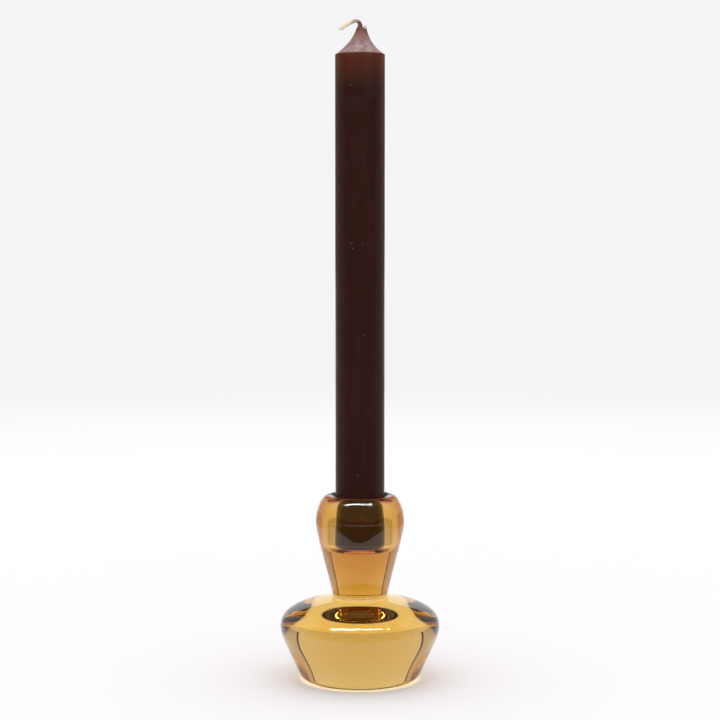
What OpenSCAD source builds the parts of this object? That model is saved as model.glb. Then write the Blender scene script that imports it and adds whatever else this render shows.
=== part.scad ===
// Glass candlestick with its dinner candle.
// Two pieces of solid glass are joined hot at the waist: a pale, turnip-shaped base with a
// shallow dish in its underside, and a deeper coloured, tulip-shaped cup with a socket. The
// candle stands loose in the socket.
// Millimetres, +Z up. The origin is the middle of the underside, on the table.

/* [Glass base] */
// Outside diameter of the flat ring that the base stands on
foot_d = 47.2; // [46:0.2:52]
// Diameter of the shallow dish in the underside
dish_d = 44; // [36:0.5:45]
// Depth of the dish in its middle
dish_h = 2.5; // [1:0.1:4]
// Diameter where the small heel turns into the flank
heel_d = 54.4; // [53:0.2:58]
// Height of the heel
heel_h = 2.4; // [1:0.1:4]
// Lean of the flank above the heel, outwards per unit of height
flank_lean = 0.45; // [0.2:0.05:0.6]
// Widest diameter of the base
belly_d = 71.5; // [68:0.5:80]
// Height of the widest ring
belly_z = 24; // [18:0.5:27]
// Height at which the shoulder turns up into the collar
shoulder_z = 36.2; // [34:0.1:37]
// Diameter at which the shoulder turns up into the collar
shoulder_d = 32; // [29:0.5:38]
// Fall of the shoulder outside the collar, per unit of width
shoulder_fall = 0.2; // [0.1:0.05:0.4]

/* [Waist] */
// Height of the seam between the two pieces of glass
seam_z = 38.4; // [38:0.1:42]
// Diameter at the seam
waist_d = 25; // [22:0.2:26]
// Rounding of each piece's edge at the seam
seam_round = 0.4; // [0.2:0.1:0.6]

/* [Glass cup] */
// Widest diameter of the cup
cup_d = 39.8; // [36:0.2:44]
// Height of the cup's widest ring
cup_belly_z = 71; // [66:0.5:74]
// Diameter of the crown of the rim
rim_d = 29; // [27:0.5:32]
// Height of the rim, which is the height of the candlestick
rim_z = 82.8; // [80:0.2:90]
// Depth of the lip that leads into the socket
lip_h = 2.2; // [1:0.1:3]

/* [Socket] */
// Diameter of the socket
socket_d = 23; // [22.5:0.1:24]
// Height of the middle of the socket's floor
floor_z = 58.5; // [50:0.5:62]
// Radius that joins the socket's wall to its floor
floor_round = 4.5; // [3:0.5:6]

/* [Candle] */
// Diameter of the candle
candle_d = 22; // [20:0.1:22.4]
// Height of the shoulder, where the candle's straight side ends
candle_shoulder_z = 278; // [150:1:330]
// Height of the drawn tip above the shoulder
tip_h = 12; // [8:0.5:16]
// Diameter of the end of the tip
tip_d = 4.6; // [3.6:0.2:7]
// Rounding of the end of the tip
tip_round = 0.7; // [0.4:0.1:1]
// Chamfer round the candle's lower end
butt_chamfer = 0.5; // [0.2:0.1:1.5]
// Gap left where the lower end rests on the socket's rounded floor
rest_gap = 0.05; // [0.02:0.01:0.2]

/* [Wick] */
// Diameter of the braided wick
wick_d = 1.7; // [1.2:0.1:2.4]
// Radial room between the wick and the wax round it
wick_room = 0.03; // [0.02:0.01:0.1]
// Straight length of wick above the tip before it bends
wick_rise = 0.9; // [0.5:0.1:4]
// Radius of the bend, at the middle of the wick
wick_bend_r = 2; // [1.5:0.1:5]
// Angle that the wick turns through
wick_turn = 121; // [40:1:150]
// Length of the drooping end after the bend
wick_droop = 6.8; // [2:0.1:12]

/* [Hidden] */
$fn = 96;

curve_steps = 16;   // straight pieces in each long curve
round_steps = 6;    // straight pieces in each small rounding
bend_steps = 10;    // straight pieces in the wick's bend
wick_sides = 12;    // flat sides round the wick

// Lengths of the handles that shape the curves, in mm
heel_out = 2;       // along the table, at the edge of the ring
heel_up = 1.2;      // down from the top of the heel
belly_low = 4.6;    // below the widest ring of the base
belly_high = 8.1;   // above the widest ring of the base
shoulder_out = 9;   // outwards from the turn of the shoulder
collar_in = 1.6;    // inwards from the turn of the shoulder
collar_down = 1.2;  // below the collar

// Handles of the cup, as shares of the height or width that they span
flare_share = 0.42; // of the height from the seam to the widest ring
flare_lean = 0.22;  // outwards per unit of height, above the waist
full_share = 0.45;  // of the height from the widest ring to the rim
rim_share = 0.5;    // of the width from the rim to the widest ring
lip_in = 0.5;       // of the lip's width
lip_up = 0.6;       // of the lip's depth

// The candle's drawn tip: a small ledge above the straight side, then a hollow cone
ledge_step = [-0.5, 0.4];      // from the straight side to the ledge
ledge_rise = 0.3;              // handle up the straight side
ledge_back = [0.2, -0.1];      // handle back from the ledge
cone_low = [-3.6, 2.7];        // handle inwards and up from the ledge
cone_high = [1.5, -4.9];       // handle outwards and down from the end's rounding
end_low = [-0.1, 0.4];         // handle up into the end's rounding
end_high = [0.3, 0];           // handle out from the flat end

foot_r = foot_d / 2;
dish_r = dish_d / 2;
dish_curve_r = (dish_r ^ 2 + dish_h ^ 2) / (2 * dish_h);
heel_r = heel_d / 2;
belly_r = belly_d / 2;
shoulder_r = shoulder_d / 2;
waist_r = waist_d / 2;
cup_r = cup_d / 2;
rim_r = rim_d / 2;
socket_r = socket_d / 2;
candle_r = candle_d / 2;
tip_r = tip_d / 2;
wick_r = wick_d / 2;
channel_r = wick_r + wick_room;

// The candle's chamfered edge comes to rest on the rounding of the socket's floor
edge_reach = candle_r - (socket_r - floor_round);
edge_rest_z = floor_z + floor_round - sqrt(floor_round ^ 2 - edge_reach ^ 2);
candle_z = edge_rest_z - butt_chamfer + rest_gap;

tip_z = candle_shoulder_z + tip_h;
bend_z = tip_z + wick_rise;

// Points of a cubic curve from a to d with handles b and c, without its first point
function curve(a, b, c, d, steps = curve_steps) = [
    for (i = [1:steps])
    let (t = i / steps, s = 1 - t)
    s ^ 3 * a + 3 * s ^ 2 * t * b + 3 * s * t ^ 2 * c + t ^ 3 * d
];

// Points of an arc about centre, from angle a to angle b, without its first point
function arc(centre, r, a, b, steps = round_steps) = [
    for (i = [1:steps])
    let (angle = a + (b - a) * i / steps)
    centre + r * [cos(angle), sin(angle)]
];

// Dish in the underside, from its middle out to the ring that the base stands on
function dish_side() =
    let (
        centre = [0, dish_h - dish_curve_r],
        edge_angle = acos(dish_r / dish_curve_r)
    )
    concat([[0, dish_h]], arc(centre, dish_curve_r, 90, edge_angle, curve_steps));

// Outside of the base, from the ring that it stands on up to the seam
function base_side() =
    let (
        foot = [foot_r, 0],
        heel = [heel_r, heel_h],
        belly = [belly_r, belly_z],
        shoulder = [shoulder_r, shoulder_z],
        collar = [waist_r, seam_z - seam_round],
        flank = [flank_lean, 1],
        fall = [1, -shoulder_fall]
    )
    concat(
        [foot],
        curve(foot, foot + [heel_out, 0], heel - heel_up * flank, heel, round_steps),
        curve(heel, heel + (belly_z - heel_h) / 2 * flank, belly - [0, belly_low], belly),
        curve(belly, belly + [0, belly_high], shoulder + shoulder_out * fall, shoulder),
        curve(shoulder, shoulder - collar_in * fall, collar - [0, collar_down], collar, round_steps),
        arc(collar - [seam_round, 0], seam_round, 0, 90)
    );

// Outside of the cup, from the seam up to the crown of the rim
function cup_side() =
    let (
        waist = [waist_r, seam_z + seam_round],
        belly = [cup_r, cup_belly_z],
        crown = [rim_r, rim_z],
        flare = (cup_belly_z - seam_z) * flare_share,
        full = [0, (rim_z - cup_belly_z) * full_share]
    )
    concat(
        [[waist_r - seam_round, seam_z]],
        arc(waist - [seam_round, 0], seam_round, -90, 0),
        curve(waist, waist + flare * [flare_lean, 1], belly - full, belly),
        curve(belly, belly + full, crown + [(cup_r - rim_r) * rim_share, 0], crown)
    );

// Inside of the cup, from the crown of the rim down to the middle of the floor
function socket_side() =
    let (
        crown = [rim_r, rim_z],
        mouth = [socket_r, rim_z - lip_h],
        lip_w = rim_r - socket_r,
        floor_centre = [socket_r - floor_round, floor_z + floor_round]
    )
    concat(
        curve(crown, crown - [lip_w * lip_in, 0], mouth + [0, lip_h * lip_up], mouth, round_steps),
        [floor_centre + [floor_round, 0]],
        arc(floor_centre, floor_round, 0, -90, curve_steps),
        [[0, floor_z]]
    );

// Outside of the candle's drawn tip, from its straight side up to the wick
function tip_side() =
    let (
        side = [candle_r, candle_shoulder_z],
        ledge = side + ledge_step,
        neck = [tip_r, tip_z - tip_round],
        end = [tip_r - tip_round, tip_z]
    )
    concat(
        [side],
        curve(side, side + [0, ledge_rise], ledge + ledge_back, ledge, round_steps),
        curve(ledge, ledge + cone_low, neck + cone_high, neck),
        curve(neck, neck + end_low, end + end_high, end, round_steps)
    );

// Stops along the middle of the wick, each [x, z, angle turned from upright]
function bend_stop(turn) = [wick_bend_r * (cos(turn) - 1), bend_z + wick_bend_r * sin(turn), turn];
wick_stops = concat(
    [[0, candle_z, 0]],
    [for (i = [0:bend_steps]) bend_stop(wick_turn * i / bend_steps)],
    [bend_stop(wick_turn) + wick_droop * [-sin(wick_turn), cos(wick_turn), 0]]
);

// Points round the wick at one stop
function wick_ring(stop) = [
    for (i = [0:wick_sides - 1])
    let (angle = 360 * i / wick_sides, out = wick_r * cos(angle))
    [stop[0] + out * cos(stop[2]), wick_r * sin(angle), stop[1] + out * sin(stop[2])]
];

// Triangles of the wick's skin between stop k and the next one
function wick_band(k) = [
    for (i = [0:wick_sides - 1])
    let (j = (i + 1) % wick_sides, low = k * wick_sides, high = low + wick_sides)
    each [[low + i, high + i, high + j], [low + i, high + j, low + j]]
];

module glass_base() {
    color([0.83, 0.67, 0.36, 0.75])
    rotate_extrude()
    polygon(concat(dish_side(), base_side(), [[0, seam_z]]));
}

module glass_cup() {
    color([0.78, 0.50, 0.16, 0.8])
    rotate_extrude()
    polygon(concat([[0, seam_z]], cup_side(), socket_side()));
}

module candle_wax() {
    color([0.2, 0.09, 0.07])
    rotate_extrude()
    polygon(concat(
        [
            [channel_r, candle_z],
            [candle_r - butt_chamfer, candle_z],
            [candle_r, candle_z + butt_chamfer]
        ],
        tip_side(),
        [[channel_r, tip_z]]
    ));
}

module candle_wick() {
    color([0.85, 0.79, 0.66])
    polyhedron(
        points = [for (stop = wick_stops) each wick_ring(stop)],
        faces = concat(
            [[for (i = [0:wick_sides - 1]) i]],
            [for (k = [0:len(wick_stops) - 2]) each wick_band(k)],
            [[for (i = [wick_sides - 1:-1:0]) (len(wick_stops) - 1) * wick_sides + i]]
        )
    );
}

glass_base();
glass_cup();
candle_wax();
candle_wick();
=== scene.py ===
import math

import bmesh
import bpy
import numpy as np
from mathutils import Matrix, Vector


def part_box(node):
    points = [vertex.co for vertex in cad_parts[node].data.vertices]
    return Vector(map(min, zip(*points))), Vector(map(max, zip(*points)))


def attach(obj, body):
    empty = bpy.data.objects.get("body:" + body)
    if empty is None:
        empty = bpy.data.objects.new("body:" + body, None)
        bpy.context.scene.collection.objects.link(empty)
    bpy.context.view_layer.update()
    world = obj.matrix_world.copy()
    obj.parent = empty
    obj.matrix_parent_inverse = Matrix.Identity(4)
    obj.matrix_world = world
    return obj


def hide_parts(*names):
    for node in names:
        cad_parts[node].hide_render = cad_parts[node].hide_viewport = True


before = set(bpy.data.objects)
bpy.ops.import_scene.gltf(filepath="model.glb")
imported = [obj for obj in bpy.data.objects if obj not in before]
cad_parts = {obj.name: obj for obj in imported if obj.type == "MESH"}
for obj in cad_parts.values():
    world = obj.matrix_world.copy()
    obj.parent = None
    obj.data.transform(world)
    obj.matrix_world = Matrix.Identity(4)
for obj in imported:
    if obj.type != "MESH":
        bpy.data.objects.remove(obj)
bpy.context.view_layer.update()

# Looks of the glass candlestick. Lengths are in millimetres here and go into the meshes in metres.
MM = 0.001
TURN = 2 * math.pi


# ---------------------------------------------------------------- outlines, as in the CAD

def pt(*xs):
    """A point or a direction: radius and height in an outline, x and z along the wick."""
    return np.array(xs, float)


def curve(a, b, c, d, steps=32):
    """Points of a cubic curve from a to d with handles b and c, without its first point."""
    t = (np.arange(1, steps + 1) / steps)[:, None]
    s = 1 - t
    return list(s**3 * a + 3 * s**2 * t * b + 3 * s * t**2 * c + t**3 * d)


def arc(centre, r, a, b, steps=12):
    """Points of an arc about centre from angle a to angle b in degrees, without its first point."""
    angles = np.radians(a + (b - a) * np.arange(1, steps + 1) / steps)
    return [centre + r * pt(math.cos(x), math.sin(x)) for x in angles]


def line(a, b, steps):
    """Points from a to b, without the first."""
    return [a + (b - a) * i / steps for i in range(1, steps + 1)]


SEAM_Z, SEAM_ROUND, SEAM_GAP = 38.4, 0.4, 0.015
WAIST_R = 12.5
CUP_R, CUP_BELLY_Z = 19.9, 71.0
RIM_R, RIM_Z = 14.5, 82.8
SOCKET_R, FLOOR_Z, FLOOR_ROUND, LIP_H = 11.5, 58.5, 4.5, 2.2
CANDLE_R, SHOULDER_Z, TIP_Z = 11.0, 278.0, 290.0
TIP_R, TIP_ROUND, BUTT = 2.3, 0.7, 0.5
WICK_R, CHANNEL_R = 0.85, 0.88
CANDLE_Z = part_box("candle_wax")[0].z / MM
DISH_R, DISH_H = 22.0, 2.5


def base_outline():
    foot, heel, belly = pt(23.6, 0), pt(27.2, 2.4), pt(35.75, 24)
    shoulder, collar = pt(16, 36.2), pt(WAIST_R, SEAM_Z - SEAM_ROUND)
    flank, fall = pt(0.45, 1), pt(1, -0.2)
    dish_r = (DISH_R**2 + DISH_H**2) / (2 * DISH_H)
    edge = math.degrees(math.acos(DISH_R / dish_r))
    top = SEAM_Z - SEAM_GAP
    return (
        [pt(0, DISH_H)] + arc(pt(0, DISH_H - dish_r), dish_r, 90, edge, 40) + [foot]
        + curve(foot, foot + pt(2, 0), heel - 1.2 * flank, heel, 14)
        + curve(heel, heel + 10.8 * flank, belly - pt(0, 4.6), belly, 40)
        + curve(belly, belly + pt(0, 8.1), shoulder + 9 * fall, shoulder, 48)
        + curve(shoulder, shoulder - 1.6 * fall, collar - pt(0, 1.2), collar, 16)
        + arc(pt(collar[0] - SEAM_ROUND, top - SEAM_ROUND), SEAM_ROUND, 0, 90, 8)
        + [pt(6, top), pt(0, top)]
    )


def cup_outline():
    bottom = SEAM_Z + SEAM_GAP
    waist, belly, crown = pt(WAIST_R, SEAM_Z + SEAM_ROUND), pt(CUP_R, CUP_BELLY_Z), pt(RIM_R, RIM_Z)
    flare, full = (CUP_BELLY_Z - SEAM_Z) * 0.42, (RIM_Z - CUP_BELLY_Z) * 0.45
    mouth = pt(SOCKET_R, RIM_Z - LIP_H)
    floor = pt(SOCKET_R - FLOOR_ROUND, FLOOR_Z + FLOOR_ROUND)
    return (
        [pt(0, bottom), pt(6, bottom), pt(WAIST_R - SEAM_ROUND, bottom)]
        + arc(pt(WAIST_R - SEAM_ROUND, bottom + SEAM_ROUND), SEAM_ROUND, -90, 0, 8)
        + curve(waist, waist + flare * pt(0.22, 1), belly - pt(0, full), belly, 56)
        + curve(belly, belly + pt(0, full), crown + pt((CUP_R - RIM_R) / 2, 0), crown, 32)
        + curve(crown, crown - pt((RIM_R - SOCKET_R) / 2, 0), mouth + pt(0, LIP_H * 0.6), mouth, 14)
        + line(mouth, floor + pt(FLOOR_ROUND, 0), 12)
        + arc(floor, FLOOR_ROUND, 0, -90, 20)
        + [pt(3.5, FLOOR_Z), pt(0, FLOOR_Z)]
    )


def wax_outline():
    side = pt(CANDLE_R, SHOULDER_Z)
    ledge = side + pt(-0.5, 0.4)
    neck, end = pt(TIP_R, TIP_Z - TIP_ROUND), pt(TIP_R - TIP_ROUND, TIP_Z)
    low = pt(CHANNEL_R, CANDLE_Z)
    return (
        [low] + line(low, pt(CANDLE_R - BUTT, CANDLE_Z), 6)
        + [pt(CANDLE_R - 0.15, CANDLE_Z + 0.2), pt(CANDLE_R, CANDLE_Z + BUTT)]
        + line(pt(CANDLE_R, CANDLE_Z + BUTT), side, 90)
        + curve(side, side + pt(0, 0.3), ledge + pt(0.2, -0.1), ledge, 8)
        + curve(ledge, ledge + pt(-3.6, 2.7), neck + pt(1.5, -4.9), neck, 40)
        + curve(neck, neck + pt(-0.1, 0.4), end + pt(0.3, 0), end, 8)
        + [pt(1.2, TIP_Z), pt(CHANNEL_R, TIP_Z)]
        + line(pt(CHANNEL_R, TIP_Z), low, 24)[:-1]
    )


# ---------------------------------------------------------------- meshes

def new_mesh(name, verts, faces, sharp_deg=35):
    """A smooth-shaded object from points in millimetres.

    Edges that turn by more than sharp_deg stay sharp, and with 0 none do.
    """
    me = bpy.data.meshes.new(name)
    me.from_pydata([tuple(v) for v in np.array(verts) * MM], [], faces)
    me.validate()
    me.polygons.foreach_set("use_smooth", [True] * len(me.polygons))
    if sharp_deg:
        me.set_sharp_from_angle(angle=math.radians(sharp_deg))
    obj = bpy.data.objects.new(name, me)
    bpy.context.scene.collection.objects.link(obj)
    return obj


def lathe(name, outline, shape=None, sides=256, ring=False, sharp_deg=35):
    """A mesh turned about Z from an outline of (radius, height).

    shape(verts) may move the points, and ring joins the outline's end to its start.
    """
    angles = TURN * np.arange(sides) / sides
    c, s = np.cos(angles), np.sin(angles)
    verts, rows = [], []
    for r, z in outline:
        rows.append((len(verts), 1 if r < 1e-9 else sides))
        verts += [(0.0, 0.0, z)] if r < 1e-9 else list(zip(r * c, r * s, np.full(sides, z)))
    faces = []
    pairs = list(zip(rows, rows[1:])) + ([(rows[-1], rows[0])] if ring else [])
    for (a, na), (b, nb) in pairs:
        for k in range(sides):
            j = (k + 1) % sides
            if na == 1:
                faces.append((a, b + j, b + k))
            elif nb == 1:
                faces.append((a + k, a + j, b))
            else:
                faces.append((a + k, a + j, b + j, b + k))
    verts = np.array(verts)
    return new_mesh(name, verts if shape is None else shape(verts), faces, sharp_deg)


def waves(verts, depth, rows):
    """Pulls points towards the axis by 0 to depth, in smooth waves.

    Each of rows is one wave: (waves round the axis, turn in radians per mm of height, phase).
    """
    angle, z = np.arctan2(verts[:, 1], verts[:, 0]), verts[:, 2]
    w = sum(np.sin(n * angle + k * z + p) for n, k, p in rows) / len(rows)
    r = np.hypot(verts[:, 0], verts[:, 1])
    pull = depth * (0.5 - 0.5 * w) * np.clip(r / 6, 0, 1)
    scale = np.where(r > 1e-6, (r - pull) / np.maximum(r, 1e-6), 1)
    out = verts.copy()
    out[:, :2] *= scale[:, None]
    return out


def smooth(x, a, b):
    """0 below a, 1 above b, and a smooth step between."""
    t = np.clip((x - a) / (b - a), 0, 1)
    return t * t * (3 - 2 * t)


def sweep(name, stops, radius, sides, sharp_deg=0):
    """A closed tube along stops, each of them (x, z, turn in radians from upright).

    radius(i, angles) gives the radii of the ring at stop i.
    """
    angles = TURN * np.arange(sides) / sides
    verts = []
    for i, (x, z, turn) in enumerate(stops):
        r = radius(i, angles)
        out = r * np.cos(angles)
        verts += list(zip(x + out * math.cos(turn), r * np.sin(angles), z + out * math.sin(turn)))
    faces = [
        (a + k, a + (k + 1) % sides, a + sides + (k + 1) % sides, a + sides + k)
        for a in range(0, (len(stops) - 1) * sides, sides) for k in range(sides)
    ]
    for at, row in ((0, stops[0]), ((len(stops) - 1) * sides, stops[-1])):
        centre = len(verts)
        verts.append((row[0], 0.0, row[1]))
        for k in range(sides):
            j = (k + 1) % sides
            faces.append((centre, at + j, at + k) if at == 0 else (centre, at + k, at + j))
    return new_mesh(name, verts, faces, sharp_deg)


# ---------------------------------------------------------------- materials

class Nodes:
    """A material's node tree, built with few words."""

    def __init__(self, name):
        self.mat = bpy.data.materials.new(name)
        self.mat.use_nodes = True
        self.tree = self.mat.node_tree
        self.tree.nodes.clear()
        self.out = self.add("OutputMaterial")

    def add(self, kind, values=None, **props):
        """A new node. A socket in values is linked to its input, and anything else is set on it."""
        node = self.tree.nodes.new("ShaderNode" + kind)
        for k, v in props.items():
            setattr(node, k, v)
        for k, v in (values or {}).items():
            if isinstance(v, bpy.types.NodeSocket):
                self.tree.links.new(v, node.inputs[k])
            else:
                node.inputs[k].default_value = v
        return node

    def math(self, op, a, b):
        return self.add("Math", {0: a, 1: b}, operation=op).outputs[0]

    def mix(self, factor, a, b):
        """Colour a where factor is 0 and colour b where it is 1."""
        node = self.add("Mix", {"Factor": factor}, data_type="RGBA")
        for slot, v in ((6, a), (7, b)):
            if isinstance(v, bpy.types.NodeSocket):
                self.tree.links.new(v, node.inputs[slot])
            else:
                node.inputs[slot].default_value = (*v, 1)
        return node.outputs[2]

    def noise(self, vector, scale, detail=3.0, rough=0.5):
        values = {"Vector": vector, "Scale": scale, "Detail": detail, "Roughness": rough}
        return self.add("TexNoise", values).outputs[0]

    def spread(self, value, low, high, to_low=0.0, to_high=1.0):
        """A smooth step from to_low to to_high as value goes from low to high."""
        values = {0: value, 1: low, 2: high, 3: to_low, 4: to_high}
        return self.add("MapRange", values, interpolation_type="SMOOTHSTEP").outputs[0]

    def surface(self, values):
        node = self.add("BsdfPrincipled", values)
        self.tree.links.new(node.outputs[0], self.out.inputs["Surface"])

    def bump(self, height, strength, distance):
        values = {"Height": height, "Strength": strength, "Distance": distance}
        return self.add("Bump", values).outputs[0]


def srgb(r, g, b):
    """Linear colour from 0-255 values."""
    return tuple(
        (c / 12.92 if c <= 0.04045 else ((c + 0.055) / 1.055) ** 2.4) for c in (r / 255, g / 255, b / 255)
    )


def glass(name, colour, density):
    """Clear glass, tinted all through. It absorbs (1 - colour) * density per metre."""
    n = Nodes(name)
    n.surface({"Base Color": (1, 1, 1, 1), "Roughness": 0.0, "IOR": 1.5, "Transmission Weight": 1.0})
    volume = n.add("VolumeAbsorption", {"Color": (*colour, 1), "Density": density})
    n.tree.links.new(volume.outputs[0], n.out.inputs["Volume"])
    return n.mat


def emitter(name, colour, strength=1.0):
    """A material that only gives light."""
    n = Nodes(name)
    node = n.add("Emission", {"Color": (*colour, 1), "Strength": strength})
    n.tree.links.new(node.outputs[0], n.out.inputs["Surface"])
    return n.mat


def wax_material():
    """Dark brown dyed wax, faintly mottled, with a painted warm highlight under the shoulder. The pale
    drawn tip is partly its own paler wax and partly a painted highlight, and the pale ledge at its foot is
    a painted highlight.
    """
    n = Nodes("wax")
    place = n.add("TexCoord").outputs["Object"]
    x, _, z = n.add("SeparateXYZ", {0: place}).outputs

    def band(low, high, *ends):
        """A smooth step between two heights, in millimetres above the candle's shoulder."""
        return n.spread(z, (SHOULDER_Z + low) * MM, (SHOULDER_Z + high) * MM, *ends)

    def drawn_out(share):
        """Places squeezed along the candle, so that a noise there is drawn out into streaks."""
        return n.add("Mapping", {"Vector": place, "Scale": (1.0, 1.0, share)}).outputs[0]

    # the body, with a painted warm highlight in a band under the shoulder, slow streaks along it and cloudy
    # mottling
    body = n.mix(band(-188, -18), srgb(46, 20, 15), srgb(44, 16, 9))
    body = n.mix(band(-17, 0), body, srgb(80, 33, 12))
    streaks = n.noise(drawn_out(0.12), 260.0, 4.0)
    clouds = n.noise(place, 95.0, 5.0, 0.6)
    body = n.mix(n.spread(streaks, 0.45, 0.75, 0, 0.35), body, srgb(60, 29, 23))
    body = n.mix(n.spread(clouds, 0.5, 0.78, 0, 0.4), body, srgb(30, 10, 7))
    # the drawn tip: pale, partly its own paler wax and partly a painted highlight, with streaks, a painted
    # highlight on the rounded ledge at its foot and browner wax near the wick
    tip_mottle = n.noise(place, 420.0, 4.0, 0.65)
    pale = n.mix(n.spread(tip_mottle, 0.3, 0.7), srgb(152, 124, 124), srgb(182, 158, 160))
    drawn = n.noise(drawn_out(0.15), 330.0, 3.0)
    pale = n.mix(n.spread(drawn, 0.42, 0.66, 0, 0.7), pale, srgb(128, 92, 86))
    # a painted highlight on the rounded ledge at the shoulder
    pale = n.mix(band(1.0, 0.2), pale, srgb(176, 142, 130))
    pale = n.mix(band(3.5, 9.0), pale, srgb(138, 100, 90))
    body = n.mix(band(0.15, 0.6), body, pale)
    body = n.mix(band(8.2, 10.8), body, srgb(112, 72, 56))
    # the pale nub beside the wick
    nub = n.math("MULTIPLY", n.spread(x, 0.0010, 0.0022), band(10.9, 11.9))
    body = n.mix(nub, body, srgb(206, 188, 180))
    # fine pale specks where the surface has been touched
    specks = n.add("TexVoronoi", {"Vector": place, "Scale": 330.0, "Randomness": 1.0}).outputs["Distance"]
    rare = n.noise(place, 140.0, 2.0)
    dots = n.math("MULTIPLY", n.spread(specks, 0.16, 0.05), n.spread(rare, 0.56, 0.66))
    body = n.mix(n.math("MULTIPLY", dots, 0.5), body, srgb(120, 100, 96))
    grain = n.noise(place, 1500.0, 3.0)
    height = n.math("ADD", clouds, n.math("MULTIPLY", grain, 0.12))
    satin = n.spread(clouds, 0.3, 0.75, 0.28, 0.4)
    rougher_tip = band(-1.0, 0.5, 0, 0.3)
    n.surface({
        "Base Color": body,
        "Roughness": n.math("ADD", satin, rougher_tip),
        "IOR": 1.44,
        "Specular IOR Level": 0.12,
        "Sheen Weight": 0.16,
        "Sheen Roughness": 0.22,
        "Sheen Tint": (1.0, 0.68, 0.58, 1),
        "Subsurface Weight": 0.12,
        "Subsurface Radius": (1.0, 0.4, 0.25),
        "Subsurface Scale": 0.0015,
        "Normal": n.bump(height, 0.25, 0.0006),
    })
    return n.mat


def wick_material():
    """Undyed braided cotton, soaked with brown wax near the candle's tip."""
    n = Nodes("wick")
    place = n.add("TexCoord").outputs["Object"]
    away = n.add("VectorMath", {0: place, 1: (0.0, 0.0, TIP_Z * MM)}, operation="DISTANCE").outputs["Value"]
    yarn = n.noise(place, 2600.0, 4.0, 0.7)
    cotton = n.mix(n.spread(yarn, 0.3, 0.7), srgb(208, 186, 138), srgb(246, 236, 208))
    soaked = n.mix(n.spread(yarn, 0.3, 0.7), srgb(104, 66, 48), srgb(160, 120, 92))
    colour = n.mix(n.spread(away, 0.0022, 0.0058), soaked, cotton)
    n.surface({
        "Base Color": colour,
        "Roughness": 0.8,
        "Sheen Weight": 0.25,
        "Normal": n.bump(yarn, 0.5, 0.0001),
    })
    return n.mat


def coat_material():
    """The thin brown wax that climbs the foot of the wick."""
    n = Nodes("wax_on_wick")
    place = n.add("TexCoord").outputs["Object"]
    cloud = n.noise(place, 900.0, 3.0)
    colour = n.mix(n.spread(cloud, 0.35, 0.65), srgb(82, 47, 37), srgb(126, 84, 66))
    normal = n.bump(cloud, 0.3, 0.0002)
    n.surface({"Base Color": colour, "Roughness": 0.7, "Specular IOR Level": 0.15, "Normal": normal})
    return n.mat


# ---------------------------------------------------------------- the pieces

def place_piece(obj, material, body, node):
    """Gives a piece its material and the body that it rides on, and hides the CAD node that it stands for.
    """
    obj.data.materials.append(material)
    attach(obj, body)
    if node:
        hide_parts(node)


GLASS_WAVES = [(2, 0.11, 0.4), (3, -0.17, 2.1), (5, 0.23, 4.0), (7, 0.31, 1.3)]
WAX_WAVES = [(2, 0.03, 0.2), (3, 0.05, 1.9), (4, -0.04, 3.3), (6, 0.11, 5.0)]
GLASS_WAVE_DEPTH, WAX_WAVE_DEPTH = 0.06, 0.07
TIP_LEAN = 0.6
NUB_X, NUB_OUT, NUB_UP, NUB_SPREAD = 1.5, 0.25, 0.75, 0.9
BASE_TINT, BASE_DENSITY = (0.835, 0.644, 0.0925), 40.0
CUP_TINT, CUP_DENSITY = (0.867, 0.655, 0.037), 135.0


def glass_shape(verts):
    """Hand-made glass is a little out of round."""
    return waves(verts, GLASS_WAVE_DEPTH, GLASS_WAVES)


def wax_shape(verts):
    """The wax a little out of round, its tip leaning towards +X with a small nub beside the wick."""
    r = np.hypot(verts[:, 0], verts[:, 1])
    outer = r > CHANNEL_R + 0.1
    out = verts.copy()
    out[outer] = waves(verts, WAX_WAVE_DEPTH, WAX_WAVES)[outer]
    lean = TIP_LEAN * smooth(verts[:, 2], SHOULDER_Z + 2.5, TIP_Z - 1.0) * outer
    nub = np.exp(-((verts[:, 0] - NUB_X) ** 2 + verts[:, 1] ** 2) / NUB_SPREAD)
    nub = nub * outer * smooth(verts[:, 2], TIP_Z - 1.8, TIP_Z - 0.4)
    out[:, 0] += lean + NUB_OUT * nub
    out[:, 2] += NUB_UP * nub
    return out


base = lathe("glass_base_piece", base_outline(), glass_shape)
place_piece(base, glass("glass_base_tint", BASE_TINT, BASE_DENSITY), "glass", "glass_base")
cup = lathe("glass_cup_piece", cup_outline(), glass_shape)
place_piece(cup, glass("glass_cup_tint", CUP_TINT, CUP_DENSITY), "glass", "glass_cup")
wax = lathe("wax_body", wax_outline(), wax_shape, sides=192, ring=True)
place_piece(wax, wax_material(), "candle", "candle_wax")

# The wick rises to BEND_Z, bends through BEND_TURN and droops, sagging by SAG more along the way
BEND_Z, BEND_R, BEND_TURN, DROOP = 290.9, 2.0, math.radians(114), 6.8
SAG = math.radians(14)
STRANDS, PITCH, YARN_DEPTH, WEAVE = 4, 3.4, 0.24, 0.12
FIBRES, FIBRE_R, FIBRE_ROOT = 16, 0.07, 0.3
COAT_R, COAT_FLARE, COAT_DEPTH = 0.84, 0.42, 0.6


def on_bend(t):
    """The stop where the wick has turned through t."""
    return BEND_R * (math.cos(t) - 1), BEND_Z + BEND_R * math.sin(t), t


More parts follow.
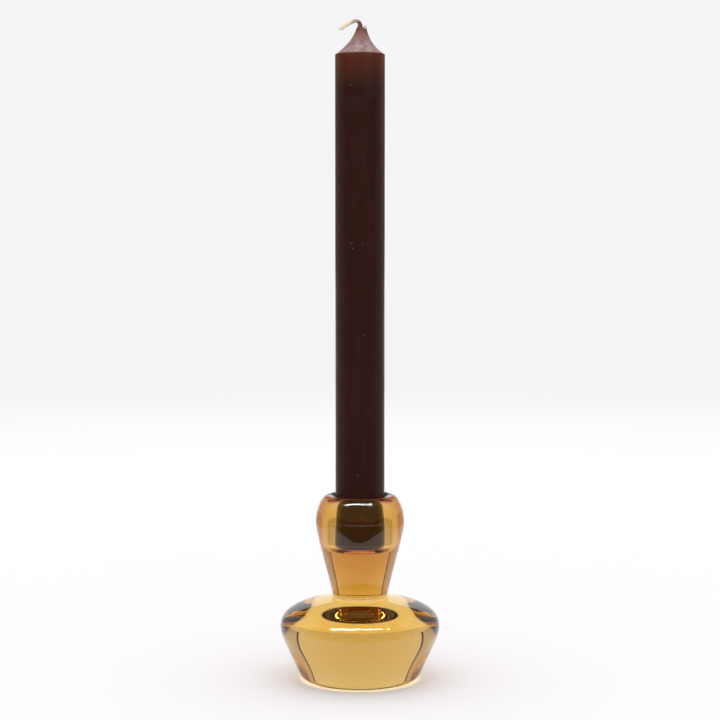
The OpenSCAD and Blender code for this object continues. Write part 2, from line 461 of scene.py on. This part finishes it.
def wick_stops():
    """Stops along the wick, coarse inside the candle and fine where it shows, and how far along each is."""
    hidden_end, fine = TIP_Z - 2.0, 0.07
    stops = [(0.0, z, 0.0) for z in np.linspace(CANDLE_Z, hidden_end, 24)]
    stops += [(0.0, z, 0.0) for z in np.arange(hidden_end + fine, BEND_Z, fine)]
    stops += [on_bend(t) for t in np.arange(0, BEND_TURN, fine / BEND_R)]
    x, z, _ = on_bend(BEND_TURN)
    for s in np.arange(fine, DROOP, fine):
        turn = BEND_TURN + SAG * s / DROOP
        x, z = x - fine * math.sin(turn), z + fine * math.cos(turn)
        stops.append((x, z, turn))
    steps = [math.dist(a[:2], b[:2]) for a, b in zip(stops, stops[1:])]
    return stops, np.concatenate([[0], np.cumsum(steps)])


stops, along = wick_stops()


def braid_radius(i, angles):
    """Yarns that wind both ways round the wick, over and under each other."""
    left = STRANDS * angles + TURN * along[i] / PITCH
    right = STRANDS * angles - TURN * along[i] / PITCH
    weave = WEAVE * np.sin((left + right) / 2) * np.cos(TURN * along[i] / PITCH)
    over = np.abs(np.cos(left / 2)) * (1 - WEAVE + weave)
    under = np.abs(np.cos(right / 2)) * (1 - WEAVE - weave)
    shown = smooth(along[i], TIP_Z - 2.0 - CANDLE_Z, TIP_Z - 1.0 - CANDLE_Z)
    near_end = smooth(along[i], along[-1] - 0.5, along[-1])
    full = WICK_R * (1 - 0.25 * near_end**2)
    return full - shown * YARN_DEPTH * (1 - np.maximum(over, under))


cotton = wick_material()
wick = sweep("wick_braid", stops, braid_radius, 72)
place_piece(wick, cotton, "candle", "candle_wick")


def frayed_end():
    """One mesh of the short fibres that spread out of the wick's cut end."""
    rng = np.random.default_rng(4)
    fibres = bmesh.new()
    x0, z0, turn = stops[-1]
    ahead, across = pt(-math.sin(turn), math.cos(turn)), pt(math.cos(turn), math.sin(turn))
    for _ in range(FIBRES):
        place, lean, reach = rng.uniform(-0.6, 0.6, 2), rng.uniform(-0.5, 0.5), rng.uniform(0.35, 1.0)
        start = pt(x0, z0) - FIBRE_ROOT * ahead + place[0] * across
        path = []
        for t in np.linspace(0, 1, 7):
            x, z = start + (FIBRE_ROOT + reach) * t * ahead + (lean * t**2 * reach) * across
            path.append((x, z, turn + lean * t))
        fibre = sweep("fibre", path, lambda i, a: np.full(len(a), FIBRE_R * (1 - i / 9)), 6)
        fibre.data.transform(Matrix.Translation((0, place[1] * MM, 0)))
        fibres.from_mesh(fibre.data)
        bpy.data.objects.remove(fibre)
    me = bpy.data.meshes.new("wick_frayed_end")
    fibres.to_mesh(me)
    fibres.free()
    obj = bpy.data.objects.new("wick_frayed_end", me)
    bpy.context.scene.collection.objects.link(obj)
    place_piece(obj, cotton, "candle", None)


frayed_end()
coat_path = [(0.0, z, 0.0) for z in np.linspace(TIP_Z - COAT_DEPTH, BEND_Z, 10)]
coat_path += [on_bend(t) for t in np.linspace(0.05, 0.95, 16)]


def coat_radius(i, angles):
    """Wide and uneven where it leaves the tip, thin at its upper end."""
    u = i / (len(coat_path) - 1)
    wobble = 0.05 * np.sin(2 * angles + 5 * u) + 0.04 * np.sin(3 * angles - 9 * u + 1)
    thin_end = 0.12 * smooth(u, 0.85, 1.0)
    return COAT_R + COAT_FLARE * (1 - u) ** 2 + wobble * (1 - u) - thin_end


coat = sweep("wax_on_wick", coat_path, coat_radius, 40)
place_piece(coat, coat_material(), "candle", None)


# ---------------------------------------------------------------- the room: light walls, lamps and table

# Light walls stand round the candlestick, unseen by the camera: only reflections and the glass show them.
# The back wall is in the middle, with a narrow dark gap and then a side wall at either end of it.
HALF, BACK, FRONT, CEILING = 260.0, 290.0, 60.0, 400.0
BACK_HALF, GAP_OUT, GAP_IN, SPLIT_Z = 205.0, 10.0, 11.0, 170.0
LAMPS, LAMP_HALF, LAMP_SPAN, LAMP_Z = 34, 6.0, 250.0, 398.0
LAMP_ROWS = (-150.0, -180.0)
CARD_REACH, CARD_Y, CARD_Z = 900.0, -110.0, 0.05
FRONT_Y, LOW_Z = -290.0, 100.0
GLOW_R, GLOW_Z = 60.0, -0.01
DOME_R, DOME_TONE = 5000.0, 1.06
FLOOR_R, TABLE_Z, FADE_FROM, FADE_TO = 4000.0, -0.02, 750.0, 1600.0
RING_OUT, RING_IN = 28.0, 25.8
NEAR_TONE, FAR_TONE, DARK_TONE = (1.02, 1.0, 1.03), (0.91, 0.90, 0.92), (0.05, 0.03, 0.03)

# The camera's place in metres, and how far it looks down in degrees
CAMERA_AWAY, CAMERA_UP, CAMERA_TILT = 0.8, 0.2, 4.05


def seen_by(obj, diffuse=False, gloss=False, through=False):
    """Hides a stage object from the camera. It meets scattered, reflected or let-through rays as told."""
    obj.visible_camera = False
    obj.visible_diffuse = diffuse
    obj.visible_glossy = gloss
    obj.visible_transmission = through
    obj.visible_shadow = False
    obj.visible_volume_scatter = False


def stage(obj, material):
    """Gives a stage object its material."""
    obj.data.materials.append(material)
    return obj


def stage_quad(name, points, material):
    return stage(new_mesh(name, points, [(0, 1, 2, 3)], 0), material)


def wall(name, a, b, low, high, material):
    """An upright light wall over the line from a to b in plan."""
    return stage_quad(name, [(*a, low), (*b, low), (*b, high), (*a, high)], material)


def level(name, left, front, right, back, z, material):
    """A level rectangle."""
    corners = [(left, front, z), (right, front, z), (right, back, z), (left, back, z)]
    return stage_quad(name, corners, material)


def light_walls():
    """The walls, the ceiling and the lamps, which reflect in the glass and show through it."""
    white = emitter("wall_white", (1, 1, 1))
    dim = emitter("ceiling_dim", (1, 0.97, 0.95), 0.15)
    side_white = emitter("side_white", (0.95, 0.9, 0.9), 0.75)
    gap_dark = emitter("gap_dark", (0.1, 0.07, 0.07), 0.3)
    back = (-BACK_HALF, BACK), (BACK_HALF, BACK)
    walls = [
        wall("wall_back", *back, 0, SPLIT_Z, white),
        wall("wall_back_top", *back, SPLIT_Z, CEILING, dim),
        level("ceiling", -HALF, -FRONT, HALF, BACK, CEILING, dim),
    ]
    corners = [(BACK_HALF, BACK), (BACK_HALF + GAP_OUT, BACK - GAP_IN), (HALF, -FRONT)]
    for side in (-1, 1):
        a, b, c = [(side * x, y) for x, y in corners]
        walls.append(wall("wall_gap", a, b, 0, CEILING, gap_dark))
        walls.append(wall("wall_side", b, c, 0, CEILING, side_white))
    for obj in walls + lamp_rows():
        seen_by(obj, gloss=True, through=True)


def lamp_rows():
    """Two rows of small square lamps overhead, in front of the candlestick."""
    lamp = emitter("lamp_white", (1, 1, 1), 120.0)
    rows = []
    for y in LAMP_ROWS:
        verts, faces = [], []
        for k in range(LAMPS):
            x = (-1 + 2 * (k + 0.5) / LAMPS) * LAMP_SPAN
            for dx, dy in ((-1, -1), (1, -1), (1, 1), (-1, 1)):
                verts.append((x + dx * LAMP_HALF, y + dy * LAMP_HALF, LAMP_Z))
            faces.append(tuple(range(4 * k, 4 * k + 4)))
        rows.append(stage(new_mesh("lamp_row", verts, faces, 0), lamp))
    return rows


def front_of_room():
    """A dark card that only reflections see, and walls that are seen only through the glass."""
    dark = emitter("front_dark", DARK_TONE)
    card = level("front_dark", -CARD_REACH, -CARD_REACH, CARD_REACH, CARD_Y, CARD_Z, dark)
    seen_by(card, gloss=True)
    front_white = emitter("front_white", (1, 0.98, 0.96), 1.4)
    front_low = emitter("front_low", (0.5, 0.45, 0.42))
    plan = [(-HALF, -FRONT), (-HALF, FRONT_Y), (HALF, FRONT_Y), (HALF, -FRONT)]
    for a, b in zip(plan, plan[1:]):
        seen_by(wall("wall_front", a, b, LOW_Z, CEILING, front_white), through=True)
        seen_by(wall("wall_front_low", a, b, 0, LOW_Z, front_low), through=True)


def table_glow():
    """The lit table as it shows through the foot of the glass."""
    disc = lathe("table_glow", [pt(0, GLOW_Z), pt(GLOW_R, GLOW_Z)], sides=64, sharp_deg=0)
    seen_by(stage(disc, emitter("table_glow", (1, 0.93, 0.7), 1.3)), through=True)


def light_dome():
    """Lights only what scatters light, so that the floor and the wax are lit softly from all sides."""
    rows = [pt(DOME_R * math.cos(a), DOME_R * math.sin(a)) for a in np.linspace(0, math.pi / 2, 13)]
    rows[-1] = pt(0, DOME_R)
    dome = lathe("dome", rows, sides=48, sharp_deg=0)
    seen_by(stage(dome, emitter("dome_white", (1, 1, 1), DOME_TONE)), diffuse=True)


def table():
    """A pale floor, slightly darker far away.

    A painted ring round the foot stands for the light that the glass gathers there.
    """
    n = Nodes("floor")
    place = n.add("TexCoord").outputs["Object"]
    away = n.add("VectorMath", {0: place}, operation="LENGTH").outputs["Value"]
    near_colour, far_colour = [tuple(c / DOME_TONE for c in tone) for tone in (NEAR_TONE, FAR_TONE)]
    n.surface({
        "Base Color": n.mix(n.spread(away, FADE_FROM * MM, FADE_TO * MM), near_colour, far_colour),
        "Roughness": 0.6,
        "Specular IOR Level": 0.0,
        "Emission Color": (1.0, 0.78, 0.4, 1),
        "Emission Strength": n.spread(away, RING_OUT * MM, RING_IN * MM, 0, 0.5),
    })
    stage(lathe("floor", [pt(0, TABLE_Z), pt(FLOOR_R, TABLE_Z)], sides=96, sharp_deg=0), n.mat)


def backdrop():
    """The world: pale behind everything for the camera, dark for every other ray."""
    world = bpy.data.worlds.new("world")
    bpy.context.scene.world = world
    world.use_nodes = True
    nodes, links = world.node_tree.nodes, world.node_tree.links
    nodes.clear()
    path = nodes.new("ShaderNodeLightPath")
    mix = nodes.new("ShaderNodeMixShader")
    out = nodes.new("ShaderNodeOutputWorld")
    links.new(path.outputs["Is Camera Ray"], mix.inputs[0])
    for slot, tone in ((1, DARK_TONE), (2, FAR_TONE)):
        background = nodes.new("ShaderNodeBackground")
        background.inputs[0].default_value = (*tone, 1)
        links.new(background.outputs[0], mix.inputs[slot])
    links.new(mix.outputs[0], out.inputs[0])


def place_camera():
    """A long lens in front of the candlestick, looking slightly down."""
    lens = bpy.data.cameras.new("camera")
    lens.lens, lens.sensor_width = 90.0, 36.0
    lens.clip_start, lens.clip_end = 0.01, 50.0
    camera = bpy.data.objects.new("camera", lens)
    bpy.context.scene.collection.objects.link(camera)
    camera.location = (0.0, -CAMERA_AWAY, CAMERA_UP)
    camera.rotation_euler = (math.radians(90 - CAMERA_TILT), 0, 0)
    bpy.context.scene.camera = camera


light_walls()
front_of_room()
table_glow()
light_dome()
table()
backdrop()
place_camera()
bpy.context.scene.view_settings.view_transform = "Standard"
